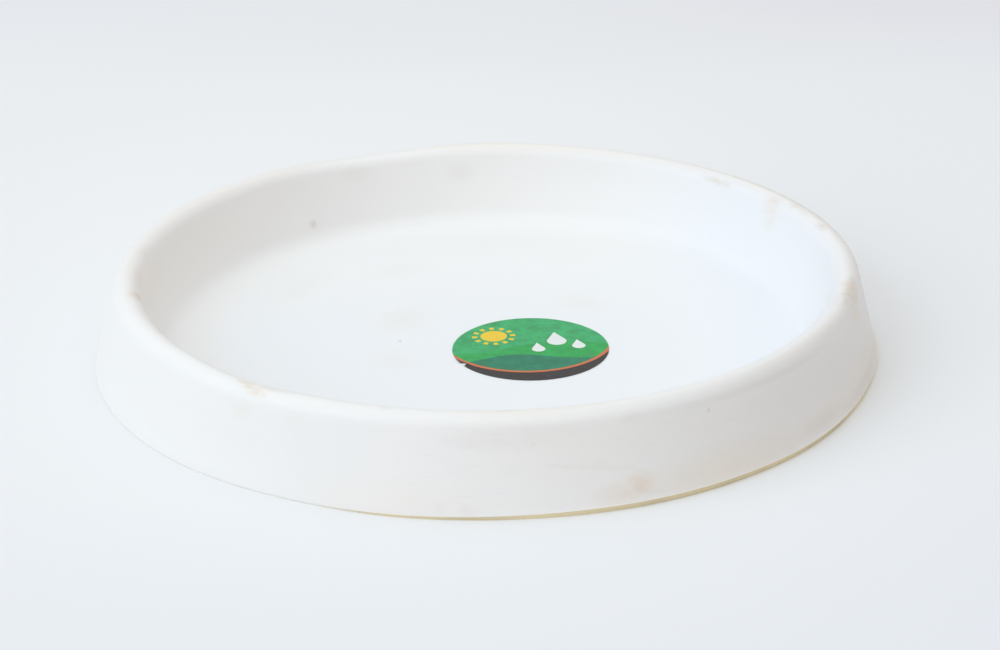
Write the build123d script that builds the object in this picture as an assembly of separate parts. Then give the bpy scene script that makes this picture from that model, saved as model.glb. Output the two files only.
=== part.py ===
from build123d import *
from build123d.topology import SkipClean
import math
import os

# Plant saucer: one moulded polyethylene skin with a round self-adhesive label on its floor.
# Millimetres and degrees, +Z up. The origin is at the middle of the base, on the surface that
# the saucer stands on, and -Y is the side nearer the label.

# Sizes of the moulded skin
base_diameter = 400.0  # widest, along the top of the trimmed edge
rim_diameter = 365.0  # circle along the crest of the rim
height = 46.0  # from the standing surface to the crest
wall = 4.0  # thickness of the skin, the same all over
rim_inside_round = 3.5  # hollow of the rim, under its crest
basin_draft = 20.0  # lean of the basin wall from upright
floor_round = 9.0  # from the basin wall into the floor
floor_clearance = 3.5  # from the standing surface to the underside of the floor
trim_height = 2.0  # band along the foot of the skirt where the moulding was cut off
trim_undercut = 0.6  # how far that band leans in, from its top to the standing surface

# Sizes of the label
label_diameter = 80.0
label_x = 22.2  # middle of the label, from the middle of the floor
label_y = -22.5
film_thickness = 0.1
adhesive_thickness = 0.05

# Values that follow from the sizes; places on the section are (radius, height)
base_radius = base_diameter / 2
label_radius = label_diameter / 2
floor_top = floor_clearance + wall
rim_round = rim_inside_round + wall
rim_centre = Vector(rim_diameter / 2, height - rim_round)

# The skirt is the straight line from the top of the trimmed edge to a touch of the rim's round
skirt_run = base_radius - rim_centre.X
skirt_rise = rim_centre.Y - trim_height
skirt_reach = math.hypot(skirt_run, skirt_rise)
skirt_draft = math.degrees(math.atan2(skirt_run, skirt_rise) - math.asin(rim_round / skirt_reach))
skirt_normal = Vector(1, 0).rotate(Axis.Z, skirt_draft)
skirt_down = skirt_normal.rotate(Axis.Z, -90)

# The floor's round touches the floor and the basin wall, which just touches the rim's round
basin_normal = Vector(-1, 0).rotate(Axis.Z, -basin_draft)
floor_round_height = floor_top + floor_round
floor_round_drop = (floor_round_height - rim_centre.Y) * basin_normal.Y
floor_flat_radius = rim_centre.X + (rim_round + floor_round - floor_round_drop) / basin_normal.X
floor_round_centre = Vector(floor_flat_radius, floor_round_height)


def skin_line(depth, foot_height):
    """The skin's section at a depth below its upper face, from the skirt's foot to the axis."""
    rim_radius = rim_round - depth
    floor_radius = floor_round + depth
    skirt_top = rim_centre + skirt_normal * rim_radius
    skirt_foot = skirt_top + skirt_down * ((foot_height - skirt_top.Y) / skirt_down.Y)
    basin_top = rim_centre + basin_normal * rim_radius
    basin_foot = floor_round_centre - basin_normal * floor_radius
    floor_edge = floor_round_centre - Vector(0, floor_radius)
    floor_middle = Vector(0, floor_edge.Y)
    edges = [
        Line(skirt_foot, skirt_top),
        CenterArc(rim_centre, rim_radius, skirt_draft, 180 - skirt_draft - basin_draft),
        Line(basin_top, basin_foot),
        CenterArc(floor_round_centre, floor_radius, -basin_draft, basin_draft - 90),
        Line(floor_edge, floor_middle),
    ]
    return edges, skirt_foot, floor_middle


def label_disc(bottom, thickness):
    """A layer of the label, standing on a given height."""
    upright = (Align.CENTER, Align.CENTER, Align.MIN)
    return Pos(label_x, label_y, bottom) * Cylinder(label_radius, thickness, align=upright)


def make_saucer_shell():
    """The whole moulded skin, turned about Z from one closed section."""
    upper, upper_foot, upper_middle = skin_line(0, trim_height)
    under, under_foot, under_middle = skin_line(wall, 0)
    trim_foot = Vector(base_radius - trim_undercut, 0)
    closing = [
        Line(upper_foot, trim_foot),
        Line(trim_foot, under_foot),
        Line(upper_middle, under_middle),
    ]
    section = make_face(upper + under + closing)
    shell = revolve(Plane.XZ * section, Axis.Z)
    # The label's seat keeps its own outline on the floor, so that the bare floor around it,
    # where a pot stands, is one plain face.
    seat = label_disc(floor_top - wall / 2, wall / 2)
    bare_floor = shell - seat
    with SkipClean():
        return bare_floor + seat


def make_label_adhesive():
    """The pressure-sensitive coat, face to face with the floor."""
    return label_disc(floor_top, adhesive_thickness)


def make_label_film():
    """The printed film, face to face with its adhesive."""
    return label_disc(floor_top + adhesive_thickness, film_thickness)


pieces = {
    "saucer_shell": make_saucer_shell(),
    "label_adhesive": make_label_adhesive(),
    "label_film": make_label_film(),
}

os.makedirs("parts", exist_ok=True)
for node, solid in pieces.items():
    export_step(solid, f"parts/{node}.step")
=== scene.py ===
"""Plant saucer: dresses the solids with a moulded skin, a printed label and a soft studio."""

import math

import bpy
from bpy.props import FloatProperty, FloatVectorProperty, IntProperty, PointerProperty
from mathutils import Matrix, Vector, noise


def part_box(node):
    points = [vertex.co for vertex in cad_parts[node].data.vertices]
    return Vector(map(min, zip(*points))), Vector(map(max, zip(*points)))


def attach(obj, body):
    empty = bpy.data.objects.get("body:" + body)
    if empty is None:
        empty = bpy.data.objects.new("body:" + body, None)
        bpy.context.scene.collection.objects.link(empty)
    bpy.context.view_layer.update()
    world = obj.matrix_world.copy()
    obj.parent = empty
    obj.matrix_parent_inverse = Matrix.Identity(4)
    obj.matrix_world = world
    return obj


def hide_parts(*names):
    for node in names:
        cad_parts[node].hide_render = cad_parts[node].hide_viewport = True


bl_info = {
    "name": "Plant saucer",
    "version": (1, 0, 0),
    "blender": (4, 5, 0),
    "location": "View3D > Sidebar > Saucer",
    "description": "Builds a moulded plant saucer with its label, and a studio around it",
    "category": "Object",
}

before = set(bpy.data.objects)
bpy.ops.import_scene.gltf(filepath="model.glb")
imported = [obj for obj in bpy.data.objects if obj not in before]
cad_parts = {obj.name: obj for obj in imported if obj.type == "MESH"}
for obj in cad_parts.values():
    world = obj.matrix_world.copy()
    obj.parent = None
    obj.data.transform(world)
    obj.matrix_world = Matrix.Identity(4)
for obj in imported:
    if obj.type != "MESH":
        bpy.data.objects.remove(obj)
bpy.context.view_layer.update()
SHELL_LOW, SHELL_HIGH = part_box("saucer_shell")
FILM_LOW, FILM_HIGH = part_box("label_film")
COAT_LOW, COAT_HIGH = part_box("label_adhesive")

MM = 0.001
PHOTO_WIDTH_PX = 1000

# Azimuths are in degrees from +X, counted towards +Y
FRONT_AZIMUTH = 270.0
BACK_AZIMUTH = 90.0

# How the moulded faces wander from true
BROAD_WAVE = 75.0 * MM
FINE_WAVE = 26.0 * MM
FINE_SHIFT = Vector((7.0, 3.0, 5.0))  # sets the fine waves apart from the broad ones
BROAD_SHARE = 0.75

# How far apart the points of the skin's section are: along the rim, the walls and the floor
UPPER_STEPS = (0.9 * MM, 1.9 * MM, 4.5 * MM)
UNDER_STEPS = (0.5 * MM, 2.6 * MM, 9.0 * MM)

# Rings and steps round the label's two discs, and how far the coat ends inside the film
LABEL_RINGS = 26
LABEL_SEGMENTS = 180
COAT_INSET = 0.15 * MM

# How grain tears the border of a mark, in shares of the mark's reach
MARK_TEAR = 1.1
MARK_BORDER = 0.5

# How strongly dirt shows on the skin, and the light and shade painted on it
CREST_DUST_AND_SHADE = 0.04
BACK_DUST = 0.06
CREST_MUD = 0.13
PAINTED_COOL_FLOOR = 0.4
PAINTED_COOL_RIGHT = 0.7
PAINTED_WARM_LIGHT = 0.8

# Scuffs on the skirt: lines in a radian and in a metre of height, where they are most common in
# radians from the front, and how dark they are
SCUFFS_ROUND = 9.0
SCUFFS_UP = 640.0
SCUFFS_MIDDLE = 0.28
SCUFF_SHADE = 0.055

# Knife marks on the cut edge: lines in a radian and in a metre of height
CUTS_ROUND = 160.0
CUTS_UP = 900.0

# The studio's floor, in metres: its width, and the middle of the pool of light painted on it, behind the
# saucer on the left
FLOOR_WIDTH = 10.0
FLOOR_PAINTED_LIGHT = (-0.07, 0.21, 0.0)

# Where the rim dips below a true circle: azimuth and half width in degrees, depth in mm
RIM_DIPS = (
    (111.0, 22.0, 2.3),
    (231.0, 14.0, 1.1),
)

# Where the rim lies outside a true circle: azimuth and half width in degrees, mm outward
RIM_WARPS = (
    (22.0, 40.0, 1.5),
)

# How the trimmed edge was cut: azimuth and half width in degrees, extra height of the cut in mm
TRIM_CUTS = (
    (225.0, 75.0, -1.4),
    (288.0, 40.0, 0.8),
    (335.0, 50.0, 1.0),
    (60.0, 80.0, -0.5),
)

# Where the foot lies inside or outside a true circle: azimuth and half width in degrees, mm outward
FOOT_WARPS = (
    (241.0, 20.0, -1.1),
    (291.0, 20.0, 0.7),
    (340.0, 24.0, -1.1),
)

# Marks on the skin: what left it, azimuth in degrees, then radius and height of its middle and its
# reach across, outward and up, all in mm, and its strength
MARKS = (
    ("rust", 191.2, 179.2, 45.2, 12.0, 7.0, 6.0, 0.20),
    ("soil", 191.6, 177.0, 43.0, 9.0, 5.0, 6.0, 0.17),
    ("rust", 192.2, 174.2, 37.0, 8.0, 5.0, 9.0, 0.13),
    ("rust", 182.4, 176.2, 42.2, 13.0, 5.0, 7.0, 0.13),
    ("rust", 173.0, 178.0, 44.5, 12.0, 5.0, 5.0, 0.11),
    ("rust", 178.0, 172.5, 33.0, 48.0, 8.0, 16.0, 0.05),
    ("soil", 125.2, 166.3, 16.2, 4.2, 4.5, 3.8, 0.24),
    ("tea", 124.4, 165.9, 14.6, 7.0, 5.0, 5.0, 0.06),
    ("soil", 232.4, 182.8, 46.0, 9.0, 4.0, 3.0, 0.18),
    ("tea", 232.6, 183.4, 46.0, 11.0, 5.0, 4.0, 0.40),
    ("tea", 233.8, 185.0, 45.5, 12.0, 5.0, 4.0, 0.36),
    ("soil", 233.8, 185.0, 45.6, 9.0, 4.0, 3.0, 0.15),
    ("tea", 235.0, 186.6, 44.7, 12.0, 5.0, 5.0, 0.25),
    ("soil", 235.0, 186.6, 44.7, 10.0, 5.0, 5.0, 0.09),
    ("soil", 237.0, 182.8, 46.0, 17.0, 3.0, 2.4, 0.19),
    ("tea", 233.4, 190.9, 36.0, 12.0, 6.0, 9.0, 0.09),
    ("tea", 242.3, 191.0, 36.0, 11.0, 6.0, 6.0, 0.06),
    ("soil", 44.0, 177.0, 43.5, 15.0, 4.0, 3.0, 0.14),
    ("tea", 44.0, 177.2, 43.6, 17.0, 5.0, 4.0, 0.15),
    ("tea", 29.8, 178.8, 44.0, 13.0, 8.0, 7.0, 0.22),
    ("soil", 29.6, 179.4, 45.2, 12.0, 6.0, 5.0, 0.09),
    ("tea", 29.2, 176.4, 41.0, 10.0, 6.0, 9.0, 0.19),
    ("tea", 28.6, 174.0, 36.0, 8.0, 6.0, 13.0, 0.16),
    ("tea", 25.1, 183.4, 45.9, 10.0, 5.0, 4.0, 0.18),
    ("soil", 24.4, 184.2, 45.8, 15.0, 6.0, 4.5, 0.15),
    ("soil", 21.8, 182.4, 45.9, 9.0, 4.0, 3.0, 0.09),
    ("soil", 14.7, 182.0, 45.9, 9.0, 4.5, 3.4, 0.16),
    ("tea", 14.7, 182.0, 45.9, 9.0, 5.0, 4.0, 0.18),
    ("rust", 348.6, 186.0, 45.2, 12.0, 8.0, 6.0, 0.24),
    ("soil", 345.8, 185.2, 45.5, 28.0, 7.0, 7.0, 0.28),
    ("rust", 345.8, 187.8, 43.4, 12.0, 8.0, 9.0, 0.20),
    ("soil", 345.6, 187.8, 43.4, 10.0, 7.0, 9.0, 0.10),
    ("rust", 343.2, 190.0, 39.0, 16.0, 8.0, 12.0, 0.13),
    ("rust", 290.4, 197.7, 10.3, 13.0, 6.0, 10.0, 0.21),
    ("soil", 290.2, 197.8, 9.6, 9.0, 6.0, 7.0, 0.03),
    ("rust", 288.0, 198.6, 7.0, 21.0, 7.0, 9.0, 0.13),
    ("soil", 272.7, 181.4, 45.9, 9.0, 2.0, 2.2, 0.13),
    ("soil", 302.2, 191.0, 36.0, 2.2, 2.4, 2.0, 0.20),
    ("soil", 267.3, 199.2, 4.5, 7.0, 4.0, 5.0, 0.07),
    ("soil", 263.6, 199.0, 5.6, 6.0, 4.0, 5.0, 0.05),
    ("soil", 269.4, 190.9, 36.4, 30.0, 6.0, 10.0, 0.06),
    ("soil", 275.4, 191.0, 35.6, 20.0, 6.0, 9.0, 0.05),
    ("soil", 276.1, 191.7, 33.1, 3.6, 3.0, 3.0, 0.09),
    ("soil", 278.6, 194.2, 23.3, 7.0, 4.0, 1.8, 0.045),
    ("soil", 280.6, 194.4, 22.4, 7.0, 4.0, 1.8, 0.05),
    ("soil", 282.6, 194.7, 21.5, 7.0, 4.0, 1.8, 0.055),
    ("soil", 284.6, 195.0, 20.6, 7.0, 4.0, 1.8, 0.05),
    ("soil", 286.6, 195.3, 19.7, 7.0, 4.0, 1.8, 0.045),
    ("soil", 288.6, 195.6, 18.8, 7.0, 4.0, 1.8, 0.04),
    ("soil", 289.9, 189.6, 40.7, 9.0, 4.0, 5.0, 0.06),
    ("soil", 255.3, 182.7, 46.0, 6.0, 3.0, 3.0, 0.06),
    ("soil", 193.2, 45.5, 7.5, 1.5, 1.5, 3.0, 0.60),
    ("tea", 158.0, 48.0, 7.5, 28.0, 20.0, 5.0, 0.11),
    ("tea", 216.0, 58.0, 7.5, 24.0, 16.0, 5.0, 0.06),
    ("tea", 37.0, 63.0, 7.5, 22.0, 18.0, 5.0, 0.08),
    ("tea", 148.0, 118.0, 7.5, 48.0, 18.0, 5.0, 0.07),
    ("tea", 117.0, 100.0, 7.5, 32.0, 18.0, 5.0, 0.06),
    ("tea", 66.0, 138.0, 7.5, 80.0, 16.0, 5.0, 0.05),
)

# Faint even tints of the same kinds, given in the same way; some are also painted shade, as noted
TINTS = (
    # Tea on the shaded left of the basin wall, which also stands as painted warm shade
    ("tea", 168.0, 172.0, 28.0, 150.0, 13.0, 40.0, 0.07),
    ("tea", 276.0, 183.0, 46.0, 80.0, 8.0, 5.0, 0.13),
    ("tea", 30.0, 183.0, 45.0, 120.0, 8.0, 8.0, 0.10),
    ("tea", 304.0, 198.0, 5.0, 90.0, 14.0, 26.0, 0.20),
    ("tea", 340.0, 197.0, 8.0, 80.0, 12.0, 22.0, 0.12),
    ("soil", 341.0, 198.4, 7.0, 100.0, 6.0, 12.0, 0.15),
    ("tea", 295.0, 192.0, 30.0, 150.0, 12.0, 40.0, 0.05),
    ("rust", 184.0, 176.0, 41.0, 34.0, 6.0, 9.0, 0.07),
    ("tea", 178.0, 182.0, 46.0, 70.0, 8.0, 6.0, 0.10),
    ("soil", 342.6, 185.6, 45.3, 14.0, 4.5, 4.5, 0.26),
    ("soil", 350.8, 185.6, 45.3, 14.0, 4.5, 4.5, 0.24),
    ("soil", 342.2, 181.0, 45.8, 16.0, 5.0, 4.0, 0.09),
    ("rust", 347.0, 197.4, 13.0, 60.0, 6.0, 16.0, 0.05),
    # This one is painted shade that dims the lit skirt on the left, laid with the soil colour
    ("soil", 225.0, 192.0, 24.0, 150.0, 16.0, 40.0, 0.03),
    ("soil", 94.9, 172.2, 33.0, 12.0, 6.0, 11.0, 0.07),
    ("soil", 114.5, 174.2, 37.8, 13.0, 6.0, 8.0, 0.04),
    ("tea", 84.0, 128.0, 7.5, 130.0, 34.0, 8.0, 0.04),
    ("soil", 84.0, 128.0, 7.5, 130.0, 34.0, 8.0, 0.02),
    ("tea", 90.0, 182.5, 46.0, 90.0, 8.0, 6.0, 0.15),
    ("soil", 20.0, 150.0, 7.5, 180.0, 45.0, 10.0, 0.045),
    # The next four darken the right of the skirt, low down and just under the crest: soil and tea, and
    # also painted shade on that side, away from the light
    ("soil", 319.0, 189.8, 40.2, 110.0, 5.0, 6.0, 0.14),
    ("soil", 325.0, 197.6, 10.0, 60.0, 6.0, 13.0, 0.13),
    ("tea", 325.0, 197.6, 10.0, 60.0, 6.0, 13.0, 0.11),
    ("soil", 332.0, 186.6, 44.0, 170.0, 7.5, 10.0, 0.16),
    ("tea", 256.0, 198.0, 6.0, 70.0, 12.0, 20.0, 0.07),
    # Soil over the whole right of the skirt, which is also painted shade on that side
    ("soil", 330.0, 193.0, 26.0, 150.0, 18.0, 48.0, 0.12),
    ("soil", 274.0, 190.3, 38.5, 50.0, 6.0, 9.0, 0.04),
)


class SkinShape(bpy.types.PropertyGroup):
    """Sizes of the moulded skin."""

    base_diameter: FloatProperty(
        name="Base diameter", description="Width along the top of the trimmed edge",
        default=SHELL_HIGH.x - SHELL_LOW.x, unit="LENGTH",
    )
    height: FloatProperty(
        name="Height", description="From the standing surface to the crest of the rim",
        default=SHELL_HIGH.z - SHELL_LOW.z, unit="LENGTH",
    )
    rim_diameter: FloatProperty(
        name="Rim diameter", description="Circle along the crest of the rim",
        default=365.0 * MM, unit="LENGTH",
    )
    wall: FloatProperty(
        name="Wall", description="Thickness of the skin", default=4.0 * MM, unit="LENGTH",
    )
    rim_inside_round: FloatProperty(
        name="Rim hollow", description="Radius under the crest of the rim",
        default=3.5 * MM, unit="LENGTH",
    )
    basin_draft: FloatProperty(
        name="Basin draft", description="Lean of the basin wall from upright",
        default=math.radians(20.0), subtype="ANGLE",
    )
    floor_round: FloatProperty(
        name="Floor round", description="Radius from the basin wall into the floor",
        default=9.0 * MM, unit="LENGTH",
    )
    floor_top: FloatProperty(
        name="Floor height", description="From the standing surface to the basin floor",
        default=COAT_LOW.z, unit="LENGTH",
    )
    trim_height: FloatProperty(
        name="Trim height", description="Height of the cut band at the foot of the skirt",
        default=2.0 * MM, unit="LENGTH",
    )
    trim_undercut: FloatProperty(
        name="Trim undercut", description="How far the cut band leans in at its foot",
        default=0.6 * MM, unit="LENGTH",
    )
    unevenness: FloatProperty(
        name="Unevenness", description="How far the moulded faces wander from true",
        default=0.22 * MM, unit="LENGTH",
    )
    segments: IntProperty(
        name="Segments", description="Steps round the skin", default=300, min=60,
    )


class SkinFinish(bpy.types.PropertyGroup):
    """Colours of the moulded skin, of what has stained it, and of the light painted on it."""

    white: FloatVectorProperty(
        name="White", description="Pigmented polyethylene", subtype="COLOR",
        default=(0.90, 0.90, 0.89), min=0.0, max=1.0,
    )
    # Painted cool light, where the light falls on the right of the basin and on its near floor
    cool_painted_light: FloatVectorProperty(
        name="Cool white", description="The same where it is cleanest", subtype="COLOR",
        default=(0.858, 0.884, 0.926), min=0.0, max=1.0,
    )
    # Painted warm light, in the shade of the basin wall on the left and at the back, and on the front
    # skirt
    warm_painted_light: FloatVectorProperty(
        name="Warm white", description="The same where it has yellowed", subtype="COLOR",
        default=(0.920, 0.904, 0.884), min=0.0, max=1.0,
    )
    tea: FloatVectorProperty(
        name="Tea", description="What stained water leaves", subtype="COLOR",
        default=(0.82, 0.60, 0.32), min=0.0, max=1.0,
    )
    soil: FloatVectorProperty(
        name="Soil", description="Potting soil", subtype="COLOR",
        default=(0.35, 0.24, 0.15), min=0.0, max=1.0,
    )
    rust: FloatVectorProperty(
        name="Rust", description="Clay smear", subtype="COLOR",
        default=(0.75, 0.45, 0.17), min=0.0, max=1.0,
    )
    cut: FloatVectorProperty(
        name="Cut edge", description="Core of the skin where it was cut", subtype="COLOR",
        default=(0.87, 0.76, 0.51), min=0.0, max=1.0,
    )


class LabelPrint(bpy.types.PropertyGroup):
    """Colours and turn of the label's print."""

    turn: FloatProperty(
        name="Turn", description="Turn of the print on the floor",
        default=math.radians(6.0), subtype="ANGLE",
    )
    meadow: FloatVectorProperty(
        name="Meadow", description="Light green ground", subtype="COLOR",
        default=(0.035, 0.45, 0.15), min=0.0, max=1.0,
    )
    hill: FloatVectorProperty(
        name="Hill", description="Middle green", subtype="COLOR",
        default=(0.012, 0.33, 0.07), min=0.0, max=1.0,
    )
    hedge: FloatVectorProperty(
        name="Hedge", description="Dark blue green", subtype="COLOR",
        default=(0.008, 0.18, 0.095), min=0.0, max=1.0,
    )
    charcoal: FloatVectorProperty(
        name="Charcoal", description="Dark crescent", subtype="COLOR",
        default=(0.026, 0.022, 0.024), min=0.0, max=1.0,
    )
    orange: FloatVectorProperty(
        name="Orange", description="Line along the crescent", subtype="COLOR",
        default=(0.62, 0.16, 0.05), min=0.0, max=1.0,
    )
    yellow: FloatVectorProperty(
        name="Yellow", description="Sun", subtype="COLOR",
        default=(0.88, 0.60, 0.03), min=0.0, max=1.0,
    )
    paper: FloatVectorProperty(
        name="Paper", description="Unprinted white", subtype="COLOR",
        default=(0.82, 0.83, 0.82), min=0.0, max=1.0,
    )


class Studio(bpy.types.PropertyGroup):
    """Floor, light and camera."""

    floor_colour: FloatVectorProperty(
        name="Floor", description="Pale floor", subtype="COLOR",
        default=(0.852, 0.857, 0.862), min=0.0, max=1.0,
    )
    # Painted fall-off of light on the floor, towards its edges and far back on the right
    floor_falloff_colour: FloatVectorProperty(
        name="Floor's edge", description="The floor away from the saucer", subtype="COLOR",
        default=(0.818, 0.827, 0.853), min=0.0, max=1.0,
    )
    floor_far_falloff_colour: FloatVectorProperty(
        name="Floor's corner", description="The floor far back", subtype="COLOR",
        default=(0.805, 0.790, 0.815), min=0.0, max=1.0,
    )
    sky_colour: FloatVectorProperty(
        name="Sky colour", description="Light from straight above", subtype="COLOR",
        default=(0.905, 0.965, 1.0), min=0.0, max=1.0,
    )
    horizon_colour: FloatVectorProperty(
        name="Horizon colour", description="Light from low down, all round", subtype="COLOR",
        default=(0.20, 0.11, 0.06), min=0.0, max=1.0,
    )
    sky_strength: FloatProperty(
        name="Sky strength", description="Level of the light from above and all round", default=1.25,
    )
    key_colour: FloatVectorProperty(
        name="Key colour", description="Light from the left", subtype="COLOR",
        default=(0.78, 0.90, 1.0), min=0.0, max=1.0,
    )
    key_power: FloatProperty(
        name="Key power", description="Power of the soft light on the left", default=80.0, unit="POWER",
    )
    key_distance: FloatProperty(
        name="Key distance", description="From the saucer to the soft light", default=4.5, unit="LENGTH",
    )
    key_size: FloatProperty(
        name="Key size", description="Width of the soft light", default=4.2, unit="LENGTH",
    )
    key_elevation: FloatProperty(
        name="Key elevation", description="Height of the soft light", subtype="ANGLE",
        default=math.radians(30.0),
    )
    key_ahead: FloatProperty(
        name="Key ahead", description="How far the light stands in front of the left side",
        subtype="ANGLE", default=math.radians(30.0),
    )
    camera_elevation: FloatProperty(
        name="Camera elevation", description="How steeply the camera looks down", subtype="ANGLE",
        default=math.radians(23.3435),
    )
    camera_distance: FloatProperty(
        name="Camera distance", description="From the camera to the middle of the base",
        default=1.5, unit="LENGTH",
    )
    camera_turn: FloatProperty(
        name="Camera turn", description="Aim to the right of the middle", subtype="ANGLE",
        default=math.radians(0.264),
    )
    camera_tilt: FloatProperty(
        name="Camera tilt", description="Aim above the middle", subtype="ANGLE",
        default=math.radians(0.3988),
    )
    camera_roll: FloatProperty(
        name="Camera roll", description="Lean of the camera", subtype="ANGLE",
        default=math.radians(-0.6751),
    )
    camera_focal_px: FloatProperty(
        name="Focal length", description="In pixels of the photograph's width", default=2910.4,
    )


class NodePen:
    """Writes the nodes of one material or world."""

    def __init__(self, owner, shader="Principled BSDF"):
        owner.use_nodes = True
        self.owner = owner
        self.tree = owner.node_tree
        self.shader = self.tree.nodes[shader]

    def feed(self, socket, value):
        """Links a socket, or sets a plain value; a colour gets its alpha."""
        if isinstance(value, bpy.types.NodeSocket):
            self.tree.links.new(value, socket)
        elif socket.type == "RGBA":
            socket.default_value = (*value[:3], 1.0)
        else:
            socket.default_value = value

    def node(self, kind, inputs, **settings):
        """A node with its settings and its inputs by name or number."""
        made = self.tree.nodes.new(kind)
        for key, value in settings.items():
            setattr(made, key, value)
        for key, value in inputs.items():
            self.feed(made.inputs[key], value)
        return made

    def place(self):
        """The point on the piece, in metres."""
        return self.node("ShaderNodeTexCoord", {}).outputs["Object"]

    def math(self, operation, first, second=0.0, third=0.0):
        """One sum on numbers."""
        made = self.node("ShaderNodeMath", {0: first, 1: second, 2: third}, operation=operation)
        return made.outputs[0]

    def vector(self, operation, first, second=(0.0, 0.0, 0.0)):
        """One sum on vectors; a length comes back as a number."""
        made = self.node("ShaderNodeVectorMath", {0: first, 1: second}, operation=operation)
        return made.outputs["Value" if operation == "LENGTH" else "Vector"]

    def product(self, first, *factors):
        """Numbers multiplied together."""
        for factor in factors:
            first = self.math("MULTIPLY", first, factor)
        return first

    def split(self, vector):
        """The three numbers of a vector."""
        parts = self.node("ShaderNodeSeparateXYZ", {"Vector": vector})
        return tuple(parts.outputs[axis] for axis in "XYZ")

    def join(self, x, y, z=0.0):
        """A vector made of numbers."""
        return self.node("ShaderNodeCombineXYZ", {"X": x, "Y": y, "Z": z}).outputs[0]

    def smooth(self, value, start, end):
        """0 at start, 1 at end, with a soft step between."""
        inputs = {"Value": value, "From Min": start, "From Max": end}
        made = self.node("ShaderNodeMapRange", inputs, interpolation_type="SMOOTHSTEP")
        return made.outputs["Result"]

    def zone(self, length, start, end):
        """The same soft step, with start and end in mm."""
        return self.smooth(length, start * MM, end * MM)

    def sector(self, angle, start, end):
        """The same soft step, with start and end in degrees."""
        return self.smooth(angle, math.radians(start), math.radians(end))

    def above(self, value, limit, blur):
        """1 above a limit and 0 below it, with a blurred border."""
        return self.smooth(value, limit - blur, limit + blur)

    def below(self, value, limit, blur):
        """1 below a limit and 0 above it, with a blurred border."""
        return self.smooth(value, limit + blur, limit - blur)

    def grain(self, place, size, detail=2.0, rough=0.5):
        """Noise from 0 to 1 with grains of about that size in metres."""
        inputs = {"Vector": place, "Scale": 1.0 / size, "Detail": detail, "Roughness": rough}
        return self.node("ShaderNodeTexNoise", inputs).outputs["Fac"]

    def streaks(self, turn, height, around, up):
        """Noise from 0 to 1, drawn out round the axis: grains in a radian and in a metre of height."""
        place = self.join(self.product(turn, around), self.product(height, up))
        return self.grain(place, 1.0, 3.0)

    def mix(self, amount, under, over):
        """One colour laid over another."""
        inputs = {0: amount, 6: under, 7: over}
        return self.node("ShaderNodeMix", inputs, data_type="RGBA").outputs[2]

    def bump(self, height, depth, strength=1.0, under=None):
        """Relief that is depth metres deep."""
        inputs = {"Height": height, "Distance": depth, "Strength": strength}
        if under is not None:
            inputs["Normal"] = under
        return self.node("ShaderNodeBump", inputs).outputs["Normal"]

    def set(self, **values):
        """Inputs of the shader, with spaces in their names written as underscores."""
        for key, value in values.items():
            self.feed(self.shader.inputs[key.replace("_", " ")], value)
        return self.owner


def swell(azimuth, bumps):
    """The sum of soft bumps at an azimuth, in metres. Each bump is azimuth, half width, height."""
    total = 0.0
    for centre, half_width, height in bumps:
        away = abs((azimuth - centre + 180.0) % 360.0 - 180.0) / half_width
        if away < 1.0:
            total += height * MM * 0.5 * (1.0 + math.cos(math.pi * away))
    return total


def wander(point, depth):
    """How far the moulded face stands off true at a point."""
    broad = noise.noise(point / BROAD_WAVE)
    fine = noise.noise(point / FINE_WAVE + FINE_SHIFT)
    return depth * (BROAD_SHARE * broad + (1.0 - BROAD_SHARE) * fine)


def line_points(start, end, step):
    """Points along a straight run, without its end."""
    count = max(1, round((end - start).length / step))
    return [start.lerp(end, i / count) for i in range(count)]


def arc_points(centre, radius, start, turn, step):
    """Points along an arc, without its end. Angles are in radians from the outward direction."""
    count = max(3, round(abs(turn) * radius / step))
    angles = [start + turn * i / count for i in range(count)]
    return [centre + radius * Vector((math.cos(a), math.sin(a))) for a in angles]


class SkinSection:
    """The skin's section as (radius, height), worked out from its sizes."""

    def __init__(self, shape):
        self.shape = shape
        self.base_radius = shape.base_diameter / 2
        self.rim_round = shape.rim_inside_round + shape.wall
        self.rim_centre = Vector((shape.rim_diameter / 2, shape.height - self.rim_round))
        run = self.base_radius - self.rim_centre.x
        rise = self.rim_centre.y - shape.trim_height
        self.skirt_draft = math.atan2(run, rise) - math.asin(self.rim_round / math.hypot(run, rise))
        draft = shape.basin_draft
        round_height = shape.floor_top + shape.floor_round
        drop = (round_height - self.rim_centre.y) * math.sin(draft)
        reach = (self.rim_round + shape.floor_round - drop) / math.cos(draft)
        self.floor_centre = Vector((self.rim_centre.x - reach, round_height))

    def side(self, depth, foot_height, steps):
        """Points at a depth below the upper face, from the middle of the floor to the foot."""
        rim_step, wall_step, floor_step = steps
        draft = self.shape.basin_draft
        rim = self.rim_round - depth
        floor = self.shape.floor_round + depth
        skirt_way = Vector((math.cos(self.skirt_draft), math.sin(self.skirt_draft)))
        basin_way = Vector((-math.cos(draft), math.sin(draft)))
        floor_edge = self.floor_centre - Vector((0.0, floor))
        basin_foot = self.floor_centre - basin_way * floor
        basin_top = self.rim_centre + basin_way * rim
        skirt_top = self.rim_centre + skirt_way * rim
        fall = (skirt_top.y - foot_height) * math.tan(self.skirt_draft)
        skirt_foot = Vector((skirt_top.x + fall, foot_height))
        points = line_points(Vector((0.0, floor_edge.y)), floor_edge, floor_step)
        points += arc_points(self.floor_centre, floor, -math.pi / 2, math.pi / 2 - draft, wall_step)
        points += line_points(basin_foot, basin_top, wall_step)
        rim_turn = self.skirt_draft + draft - math.pi
        points += arc_points(self.rim_centre, rim, math.pi - draft, rim_turn, rim_step)
        points += line_points(skirt_top, skirt_foot, wall_step)
        return points + [skirt_foot]


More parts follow.
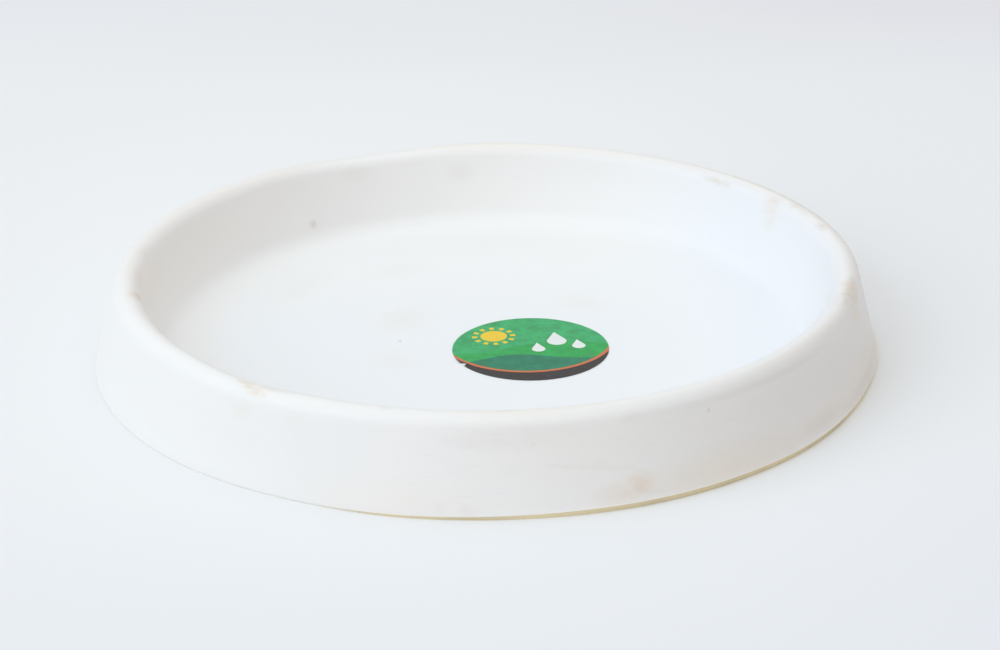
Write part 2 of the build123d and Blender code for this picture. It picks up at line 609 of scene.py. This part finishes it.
def new_piece(name, points, faces, materials):
    """A smooth mesh piece in the frame."""
    mesh = bpy.data.meshes.new(name)
    mesh.from_pydata(points, [], faces)
    mesh.polygons.foreach_set("use_smooth", [True] * len(mesh.polygons))
    for material in materials:
        mesh.materials.append(material)
    mesh.validate()
    piece = bpy.data.objects.new(name, mesh)
    bpy.context.scene.collection.objects.link(piece)
    return piece


def lathe_faces(rings, segments):
    """Faces of a closed turned form: a pole, rings of points, and a second pole."""
    last = 1 + rings * segments
    faces = []
    for i in range(segments):
        following = (i + 1) % segments
        faces.append((0, 1 + i, 1 + following))
        for ring in range(rings - 1):
            low = 1 + ring * segments
            high = low + segments
            faces.append((low + i, high + i, high + following, low + following))
        end = last - segments
        faces.append((last, end + following, end + i))
    return faces


def shaded(colour, factor):
    """A colour made lighter or darker."""
    return [channel * factor for channel in colour]


def front_turn(pen, x, y):
    """The angle round the axis, in radians from the front towards the right."""
    return pen.math("ARCTAN2", x, pen.product(y, -1.0))


def back_turn(pen, x, y):
    """The angle round the axis, in radians from the back towards the left."""
    return pen.math("ARCTAN2", pen.product(x, -1.0), y)


class SkinPlace:
    """Where a point of the skin lies: along the three axes, out from Z and round it."""

    def __init__(self, pen):
        self.point = pen.place()
        self.x, self.y, self.z = pen.split(self.point)
        self.radius = pen.vector("LENGTH", pen.join(self.x, self.y))
        self.turn = front_turn(pen, self.x, self.y)
        self.turn_behind = back_turn(pen, self.x, self.y)
        self.off_front = pen.math("ABSOLUTE", self.turn)


def stain_and_shade_masks(pen, spot, ragged):
    """How strongly each kind of mark covers the skin, by kind; some of the tints are painted shade."""
    from_front = pen.join(spot.turn, spot.radius, spot.z)
    from_back = pen.join(spot.turn_behind, spot.radius, spot.z)
    masks = {}
    for table, tear, border in ((MARKS, MARK_TEAR, MARK_BORDER), (TINTS, 0.0, 0.0)):
        for kind, azimuth, out, up, across, outward, tall, strength in table:
            # Marks on the back half are measured from the back, so that none is cut in two there
            behind = azimuth < 180.0
            turn = math.radians(azimuth - (BACK_AZIMUTH if behind else FRONT_AZIMUTH))
            middle = Vector((turn, out * MM, up * MM))
            reach = Vector((out / across, 1.0 / (outward * MM), 1.0 / (tall * MM)))
            offset = pen.vector("SUBTRACT", from_back if behind else from_front, middle)
            away = pen.vector("LENGTH", pen.vector("MULTIPLY", offset, reach))
            if tear:
                away = pen.math("MULTIPLY_ADD", ragged, tear, away)
            mark = pen.product(pen.smooth(away, 1.0 + border, border), strength)
            masks[kind] = pen.math("MAXIMUM", masks[kind], mark) if kind in masks else mark
    return masks


def add_crest_dirt_and_shade(pen, spot, ragged, masks):
    """Dust along the crest, most of it at the back, and dried mud on the right of the back rim; the dust
    all round also stands as painted shade that dims the lit crest.
    """
    behind = pen.sector(spot.off_front, 95.0, 125.0)
    # The dust all round the crest is also painted shade that dims its light
    dust = pen.math("MULTIPLY_ADD", behind, BACK_DUST, CREST_DUST_AND_SHADE)
    dust = pen.product(pen.zone(spot.z, 42.5, 45.7), dust)
    masks["tea"] = pen.math("MAXIMUM", masks["tea"], dust)
    crest = pen.product(pen.zone(spot.radius, 182.2, 184.5), pen.zone(spot.z, 40.0, 43.0))
    stretch = pen.product(pen.sector(spot.turn, 85.0, 110.0), pen.sector(spot.turn, 165.0, 140.0))
    patchy = pen.smooth(ragged, 0.25, 0.6)
    mud = pen.product(crest, stretch, patchy, CREST_MUD)
    masks["soil"] = pen.math("MAXIMUM", masks["soil"], mud)


def cloudy_white_with_painted_light(pen, spot, cloudy, finish):
    """The white of the skin: cloudy, with painted cool light where it is lit and painted warm light in
    its shade.
    """
    colour = pen.mix(pen.product(cloudy, 0.5), finish.white, shaded(finish.white, 0.965))
    inside = pen.zone(spot.radius, 183.0, 179.0)
    # Painted cool light on the right of the basin and on the nearer part of its floor
    near_floor = pen.product(pen.zone(spot.radius, 152.0, 125.0), pen.zone(spot.y, 90.0, 0.0))
    near_floor = pen.product(near_floor, PAINTED_COOL_FLOOR)
    right = pen.product(pen.zone(spot.x, 50.0, 150.0), PAINTED_COOL_RIGHT)
    painted_cool = pen.product(pen.math("MAXIMUM", near_floor, right), inside)
    colour = pen.mix(painted_cool, colour, finish.cool_painted_light)
    # Painted warm light lifts the left and the back of its wall, which are in shade, and the middle of
    # the skirt in front
    left = pen.product(pen.zone(spot.x, 130.0, 10.0), pen.zone(spot.y, -100.0, -30.0))
    left_wall = pen.product(left, pen.zone(spot.radius, 128.0, 152.0), inside)
    middle = pen.sector(spot.off_front, 28.0, 9.0)
    front_skirt = pen.product(middle, pen.zone(spot.radius, 184.0, 189.0))
    painted_warm = pen.product(pen.math("MAXIMUM", left_wall, front_skirt), PAINTED_WARM_LIGHT)
    return pen.mix(painted_warm, colour, finish.warm_painted_light)


def scuff_mask(pen, spot):
    """Short scuffs that run round the skirt in fine level lines, most of them in front."""
    lines = pen.streaks(spot.turn, spot.z, SCUFFS_ROUND, SCUFFS_UP)
    away = pen.math("ABSOLUTE", pen.math("SUBTRACT", spot.turn, SCUFFS_MIDDLE))
    front = pen.smooth(away, 0.75, 0.2)
    often = pen.math("MULTIPLY_ADD", front, 0.75, 0.25)
    return pen.product(pen.smooth(lines, 0.58, 0.72), pen.zone(spot.radius, 188.0, 190.0), often)


def moulded_white(finish):
    """Waxy white polyethylene with soil marks, scuffs and grime, with painted light and shade among
    them.
    """
    pen = NodePen(bpy.data.materials.new("moulded_white"))
    spot = SkinPlace(pen)
    ragged = pen.grain(spot.point, 4.0 * MM, 5.0, 0.65)
    cloudy = pen.grain(spot.point, 45.0 * MM, 3.0, 0.55)
    masks = stain_and_shade_masks(pen, spot, ragged)
    add_crest_dirt_and_shade(pen, spot, ragged, masks)
    colour = cloudy_white_with_painted_light(pen, spot, cloudy, finish)
    for kind in ("tea", "rust", "soil"):
        colour = pen.mix(masks[kind], colour, getattr(finish, kind))
    scuff = scuff_mask(pen, spot)
    colour = pen.mix(pen.product(scuff, SCUFF_SHADE), colour, shaded(finish.white, 0.55))

    dirt = pen.math("MAXIMUM", pen.math("MAXIMUM", masks["tea"], masks["soil"]), masks["rust"])
    rough = pen.math("MULTIPLY_ADD", dirt, 0.5, pen.math("MULTIPLY_ADD", cloudy, 0.10, 0.45))
    rough = pen.math("MULTIPLY_ADD", scuff, 0.12, rough)

    peel = pen.bump(pen.grain(spot.point, 2.6 * MM), 0.05 * MM, 0.6)
    relief = pen.bump(scuff, -0.06 * MM, 0.7, peel)
    return pen.set(
        Base_Color=colour, Roughness=rough, Normal=relief, Specular_IOR_Level=0.2,
        Subsurface_Weight=0.12, Subsurface_Scale=6.0 * MM, Subsurface_Radius=(1.0, 0.9, 0.75),
    )


def cut_edge(finish):
    """The knife-cut band: bare core with mud and cutting marks."""
    pen = NodePen(bpy.data.materials.new("cut_edge"))
    place = pen.place()
    x, y, z = pen.split(place)
    turn = front_turn(pen, x, y)
    knife = pen.streaks(turn, z, CUTS_ROUND, CUTS_UP)
    cloudy = pen.grain(place, 30.0 * MM)
    bare = pen.mix(pen.smooth(cloudy, 0.3, 0.7), finish.cut, shaded(finish.cut, 0.86))
    bare = pen.mix(pen.product(pen.smooth(knife, 0.55, 0.8), 0.3), bare, finish.soil)
    # Painted light: the band is near white on the left, which faces the light, and also at the back
    painted_light_white = pen.mix(0.12, shaded(finish.white, 0.94), finish.cut)
    stretch = pen.product(pen.sector(turn, -26.0, -13.0), pen.sector(turn, 165.0, 125.0))
    return pen.set(
        Base_Color=pen.mix(stretch, painted_light_white, bare),
        Roughness=pen.math("MULTIPLY_ADD", knife, 0.2, 0.6),
        Normal=pen.bump(knife, 0.12 * MM, 0.6),
    )


def label_space(pen, turn):
    """The print's own place: (across, up) with the label's edge at 1."""
    middle = (FILM_LOW + FILM_HIGH) / 2
    radius = (FILM_HIGH.x - FILM_LOW.x) / 2
    inputs = {
        "Vector": pen.place(),
        "Location": middle,
        "Rotation": (0.0, 0.0, turn),
        "Scale": (radius, radius, 1.0),
    }
    mapped = pen.node("ShaderNodeMapping", inputs, vector_type="TEXTURE")
    return pen.split(mapped.outputs[0])[:2]


def distance(pen, across, up, middle):
    """How far the print's place lies from a point of it: sideways, upward and straight."""
    sideways = pen.math("SUBTRACT", across, middle[0])
    upward = pen.math("SUBTRACT", up, middle[1])
    return sideways, upward, pen.vector("LENGTH", pen.join(sideways, upward))


def sun_mask(pen, across, up, middle, radius):
    """A disc with a ring of rays."""
    ray_count = 12.0
    ray_start = 1.24 * radius
    ray_end = 1.64 * radius
    blur = 0.02 * radius
    sideways, upward, away = distance(pen, across, up, middle)
    disc = pen.below(away, radius, blur)
    beams = pen.math("COSINE", pen.product(pen.math("ARCTAN2", upward, sideways), ray_count))
    ring = pen.product(pen.above(away, ray_start, blur), pen.below(away, ray_end, blur))
    rays = pen.product(pen.smooth(beams, 0.1, 0.3), ring)
    return pen.math("MAXIMUM", disc, rays)


def drop_mask(pen, across, up, middle, radius):
    """A water drop: a disc with a tapered tip on top."""
    tip = 2.3  # height of the tip above the disc's middle, in radii
    taper = math.asin(1.0 / tip)
    blur = 0.03 * radius
    sideways, upward, away = distance(pen, across, up, middle)
    disc = pen.below(away, radius, blur)
    slope = pen.product(pen.math("ABSOLUTE", sideways), math.cos(taper))
    slope = pen.math("MULTIPLY_ADD", upward, math.sin(taper), slope)
    upper = pen.smooth(upward, 0.42 * radius, 0.45 * radius)
    cone = pen.product(pen.below(slope, radius, blur), upper)
    return pen.math("MAXIMUM", disc, cone)


def printed_film(design):
    """Semi-gloss film printed with a plain garden scene."""
    pen = NodePen(bpy.data.materials.new("printed_film"))
    across, up = label_space(pen, design.turn)
    place = pen.place()
    mottle = pen.grain(place, 7.0 * MM, 3.0, 0.6)
    colour = pen.mix(pen.smooth(mottle, 0.35, 0.7), design.meadow, shaded(design.meadow, 0.72))
    # Each hill: its colour, the level and height of its waves, how close they are and their start
    hills = (
        (design.hill, 0.06, 0.13, 2.6, 0.7),
        (design.hedge, -0.26, 0.10, 3.6, 2.4),
    )
    for shade, level, tall, waves, start in hills:
        crest = pen.math("SINE", pen.math("MULTIPLY_ADD", across, waves, start))
        crest = pen.math("MULTIPLY_ADD", crest, tall, level)
        under_crest = pen.math("SUBTRACT", crest, up)
        tinted = pen.mix(pen.smooth(mottle, 0.3, 0.75), shade, shaded(shade, 1.35))
        colour = pen.mix(pen.above(under_crest, 0.0, 0.01), colour, tinted)
    # The crescent is what lies outside a circle about this point, with a line along it
    away = distance(pen, across, up, (0.0, 0.40))[2]
    colour = pen.mix(pen.above(away, 1.09, 0.005), colour, design.orange)
    colour = pen.mix(pen.above(away, 1.14, 0.005), colour, design.charcoal)
    colour = pen.mix(sun_mask(pen, across, up, (-0.42, 0.46), 0.17), colour, design.yellow)
    for middle, radius in (((0.36, 0.20), 0.125), ((0.62, 0.02), 0.085), ((0.10, -0.02), 0.085)):
        colour = pen.mix(drop_mask(pen, across, up, middle, radius), colour, design.paper)
    from_middle = distance(pen, across, up, (0.0, 0.0))[2]
    colour = pen.mix(pen.above(from_middle, 0.995, 0.003), colour, design.paper)
    dust = pen.grain(place, 1.2 * MM, 3.0, 0.65)
    rubbed = pen.product(pen.smooth(dust, 0.60, 0.78), 0.18)
    return pen.set(
        Base_Color=pen.mix(rubbed, colour, design.paper),
        Roughness=pen.math("MULTIPLY_ADD", dust, 0.18, 0.26),
        Normal=pen.bump(pen.grain(place, 9.0 * MM), 0.06 * MM, 0.5),
        Specular_IOR_Level=0.35,
    )


def milky_coat(design):
    """Milky adhesive with fine bubbles."""
    pen = NodePen(bpy.data.materials.new("milky_coat"))
    bubbles = pen.grain(pen.place(), 0.8 * MM)
    colour = pen.mix(pen.smooth(bubbles, 0.4, 0.7), design.paper, shaded(design.paper, 0.9))
    return pen.set(Base_Color=colour, Roughness=pen.math("MULTIPLY_ADD", bubbles, 0.2, 0.35))


class SAUCER_OT_skin(bpy.types.Operator):
    """Build the moulded skin, slightly warped and uneven, with its trimmed edge"""

    bl_idname = "saucer.skin"
    bl_label = "Moulded skin"

    def execute(self, context):
        shape = context.scene.saucer_skin
        finish = context.scene.saucer_finish
        section = SkinSection(shape)
        upper = section.side(0.0, shape.trim_height, UPPER_STEPS)
        under = section.side(shape.wall, 0.0, UNDER_STEPS)
        trim_foot = Vector((section.base_radius - shape.trim_undercut, 0.0))
        stations = upper[1:] + [trim_foot] + under[:0:-1]
        trim_top = len(upper) - 2
        trim_bottom = trim_top + 1
        under_foot = trim_top + 2
        points = [self.mould(section, upper[0], 0.0)]
        for number, station in enumerate(stations):
            for step in range(shape.segments):
                azimuth = 360.0 * step / shape.segments
                point = self.mould(section, station, azimuth)
                cut = shape.trim_height + swell(azimuth, TRIM_CUTS)
                if number == trim_top:
                    point.z = cut
                elif number == trim_bottom:
                    spare = shape.trim_undercut * (1.0 - cut / shape.trim_height)
                    point.xy += point.xy.normalized() * spare
                points.append(point)
        points.append(self.mould(section, under[0], 0.0))
        faces = lathe_faces(len(stations), shape.segments)
        skin = new_piece("saucer_skin", points, faces, [moulded_white(finish), cut_edge(finish)])
        self.mark_cut(skin.data, shape.segments, trim_top, under_foot)
        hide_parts("saucer_shell")
        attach(skin, "root")
        return {"FINISHED"}

    @staticmethod
    def mould(section, station, azimuth):
        """A point of the section, turned to an azimuth and set off by warp and unevenness."""
        shape = section.shape
        angle = math.radians(azimuth)
        way = Vector((math.cos(angle), math.sin(angle), 0.0))
        point = way * station.x + Vector((0.0, 0.0, station.y))
        # The rim's warp fades out down to the floor, and the foot's warp up to the rim
        share = min(1.0, max(0.0, (station.y - shape.floor_top) / (shape.height - shape.floor_top)))
        point.z -= swell(azimuth, RIM_DIPS) * share
        point += way * (swell(azimuth, RIM_WARPS) * share)
        if station.x > section.rim_centre.x:
            point += way * (swell(azimuth, FOOT_WARPS) * (1.0 - station.y / shape.height))
        off_true = wander(point, shape.unevenness)
        if station.x < section.floor_centre.x:
            point.z += off_true
        elif station.y > shape.trim_height:
            point += way * (off_true - shape.unevenness)
        return point

    @staticmethod
    def mark_cut(mesh, segments, trim_top, under_foot):
        """Gives the cut band its own finish and crisp edges."""
        def ring(vertex):
            return (vertex - 1) // segments

        for face in mesh.polygons:
            rings = [ring(v) for v in face.vertices]
            if min(rings) >= trim_top and max(rings) <= under_foot:
                face.material_index = 1
        for edge in mesh.edges:
            first, second = (ring(v) for v in edge.vertices)
            edge.use_edge_sharp = first == second and trim_top <= first <= under_foot


def label_disc(name, low, thickness, outline, lift, material):
    """A thin closed disc that follows the uneven floor from a given height above it."""
    shape = bpy.context.scene.saucer_skin
    middle = (FILM_LOW + FILM_HIGH) / 2

    def point(share, azimuth, raise_by):
        angle = math.radians(azimuth)
        reach = outline(azimuth) * share
        across = reach * math.cos(angle)
        back = reach * math.sin(angle)
        spot = Vector((middle.x + across, middle.y + back, shape.floor_top))
        spot.z += wander(spot, shape.unevenness) + low - COAT_LOW.z + raise_by + lift(share, azimuth)
        return spot

    azimuths = [360.0 * step / LABEL_SEGMENTS for step in range(LABEL_SEGMENTS)]
    shares = [(ring + 1) / LABEL_RINGS for ring in range(LABEL_RINGS)]
    points = [point(0.0, 0.0, thickness)]
    points += [point(share, azimuth, thickness) for share in shares for azimuth in azimuths]
    points += [point(share, azimuth, 0.0) for share in reversed(shares) for azimuth in azimuths]
    points.append(point(0.0, 0.0, 0.0))
    disc = new_piece(name, points, lathe_faces(2 * LABEL_RINGS, LABEL_SEGMENTS), [material])
    for edge in disc.data.edges:
        first, second = ((v - 1) // LABEL_SEGMENTS for v in edge.vertices)
        edge.use_edge_sharp = first == second and first in (LABEL_RINGS - 1, LABEL_RINGS)
    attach(disc, "root")
    return disc


class SAUCER_OT_label_film(bpy.types.Operator):
    """Build the printed film, with a torn nick and a slightly lifted edge"""

    bl_idname = "saucer.label_film"
    bl_label = "Label film"

    # Azimuth and half width in degrees, depth of the nick and height of the lifted edge in mm
    NICK = ((209.0, 4.0, 3.0),)
    LIFT = ((206.0, 13.0, 0.45), (24.0, 18.0, 0.12))
    LIFT_START = 0.86  # where the lifted edge leaves the floor, as a share of the radius

    def execute(self, context):
        material = printed_film(context.scene.saucer_label)
        radius = (FILM_HIGH.x - FILM_LOW.x) / 2
        thickness = FILM_HIGH.z - FILM_LOW.z

        def outline(azimuth):
            return radius - swell(azimuth, self.NICK)

        def lift(share, azimuth):
            beyond = max(0.0, (share - self.LIFT_START) / (1.0 - self.LIFT_START))
            return swell(azimuth, self.LIFT) * beyond ** 2

        film = label_disc("label_film_print", FILM_LOW.z, thickness, outline, lift, material)
        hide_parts("label_film")
        return {"FINISHED"}


class SAUCER_OT_label_coat(bpy.types.Operator):
    """Build the adhesive coat under the film"""

    bl_idname = "saucer.label_coat"
    bl_label = "Label adhesive"

    def execute(self, context):
        material = milky_coat(context.scene.saucer_label)
        radius = (COAT_HIGH.x - COAT_LOW.x) / 2 - COAT_INSET
        thickness = COAT_HIGH.z - COAT_LOW.z

        def outline(azimuth):
            return radius

        def lift(share, azimuth):
            return 0.0

        coat = label_disc("label_adhesive_coat", COAT_LOW.z, thickness, outline, lift, material)
        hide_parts("label_adhesive")
        return {"FINISHED"}


class SAUCER_OT_studio(bpy.types.Operator):
    """Build the pale floor, the soft light and the camera"""

    bl_idname = "saucer.studio"
    bl_label = "Studio"

    def execute(self, context):
        studio = context.scene.saucer_studio
        context.scene.view_settings.view_transform = "Standard"
        self.lay_floor(studio)
        self.light(context, studio)
        self.aim_camera(context, studio)
        return {"FINISHED"}

    @staticmethod
    def lay_floor(studio):
        """A wide pale floor, with a painted pool of light behind the saucer and painted fall-off towards
        its edges.
        """
        half = FLOOR_WIDTH / 2
        corners = [(-half, -half, 0.0), (half, -half, 0.0), (half, half, 0.0), (-half, half, 0.0)]
        pen = NodePen(bpy.data.materials.new("pale_floor"))
        place = pen.place()
        x, y, _ = pen.split(place)
        # A pool of light is painted on the floor behind the saucer, broken up by grain
        away = pen.vector("LENGTH", pen.vector("SUBTRACT", place, FLOOR_PAINTED_LIGHT))
        cloudy = pen.grain(place, 350.0 * MM)
        shade = pen.math("MULTIPLY_ADD", cloudy, 0.4, pen.zone(away, 120.0, 360.0))
        colour = pen.mix(shade, shaded(studio.floor_colour, 1.035), studio.floor_colour)
        # Painted fall-off of light: it is a little darker towards its edges, and most of all far back on
        # the right
        colour = pen.mix(pen.zone(away, 380.0, 600.0), colour, studio.floor_falloff_colour)
        side = pen.math("MULTIPLY_ADD", pen.zone(x, 0.0, 300.0), 0.65, 0.35)
        far = pen.product(pen.zone(y, 420.0, 620.0), side)
        material = pen.set(Base_Color=pen.mix(far, colour, studio.floor_far_falloff_colour), Roughness=0.75)
        floor = new_piece("studio_floor", corners, [(0, 1, 2, 3)], [material])

    @staticmethod
    def light(context, studio):
        """A soft sky, and one soft lamp in front on the left."""
        pen = NodePen(bpy.data.worlds.new("studio_sky"), "Background")
        height = pen.split(pen.node("ShaderNodeTexCoord", {}).outputs["Generated"])[2]
        sky = pen.mix(height, studio.horizon_colour, studio.sky_colour)
        seen = pen.node("ShaderNodeLightPath", {}).outputs["Is Camera Ray"]
        sky = pen.mix(seen, sky, studio.floor_colour)
        context.scene.world = pen.set(Color=sky, Strength=studio.sky_strength)
        lamp = bpy.data.lights.new("studio_key", "AREA")
        lamp.shape = "DISK"
        lamp.size = studio.key_size
        lamp.energy = studio.key_power
        lamp.color = studio.key_colour
        key = bpy.data.objects.new("studio_key", lamp)
        level = math.cos(studio.key_elevation)
        way = Vector((
            -level * math.cos(studio.key_ahead), -level * math.sin(studio.key_ahead),
            math.sin(studio.key_elevation),
        ))
        key.location = way * studio.key_distance
        key.rotation_euler = way.to_track_quat("Z", "Y").to_euler()
        context.scene.collection.objects.link(key)

    @staticmethod
    def aim_camera(context, studio):
        """The camera at the photograph's place, aimed a little off the middle of the base."""
        lens = bpy.data.cameras.new("studio_camera")
        lens.sensor_fit = "HORIZONTAL"
        lens.lens = studio.camera_focal_px * lens.sensor_width / PHOTO_WIDTH_PX
        camera = bpy.data.objects.new("studio_camera", lens)
        level = math.cos(studio.camera_elevation)
        place = Vector((0.0, -level, math.sin(studio.camera_elevation))) * studio.camera_distance
        ahead = -place.normalized()
        right = ahead.cross(Vector((0.0, 0.0, 1.0))).normalized()
        up = right.cross(ahead)
        aim = ahead + math.tan(studio.camera_turn) * right + math.tan(studio.camera_tilt) * up
        aim.normalize()
        right = aim.cross(up).normalized()
        up = right.cross(aim)
        lean = Matrix.Rotation(studio.camera_roll, 3, -aim)
        axes = Matrix((lean @ right, lean @ up, -aim)).transposed()
        camera.matrix_world = Matrix.Translation(place) @ axes.to_4x4()
        context.scene.collection.objects.link(camera)
        context.scene.camera = camera


OPERATORS = (SAUCER_OT_skin, SAUCER_OT_label_coat, SAUCER_OT_label_film, SAUCER_OT_studio)
SETTINGS = {
    "saucer_skin": SkinShape,
    "saucer_finish": SkinFinish,
    "saucer_label": LabelPrint,
    "saucer_studio": Studio,
}


class SAUCER_PT_panel(bpy.types.Panel):
    """The saucer's settings and the buttons that build it"""

    bl_idname = "SAUCER_PT_panel"
    bl_label = "Plant saucer"
    bl_space_type = "VIEW_3D"
    bl_region_type = "UI"
    bl_category = "Saucer"

    def draw(self, context):
        for name, group in SETTINGS.items():
            box = self.layout.box()
            for key in group.__annotations__:
                box.prop(getattr(context.scene, name), key)
        for operator in OPERATORS:
            self.layout.operator(operator.bl_idname)


CLASSES = (*SETTINGS.values(), *OPERATORS, SAUCER_PT_panel)


def register():
    for cls in CLASSES:
        bpy.utils.register_class(cls)
    for name, group in SETTINGS.items():
        setattr(bpy.types.Scene, name, PointerProperty(type=group))


def unregister():
    for name in SETTINGS:
        delattr(bpy.types.Scene, name)
    for cls in reversed(CLASSES):
        bpy.utils.unregister_class(cls)


def main():
    register()
    bpy.ops.saucer.skin()
    bpy.ops.saucer.label_coat()
    bpy.ops.saucer.label_film()
    bpy.ops.saucer.studio()


if __name__ == "__main__":
    main()
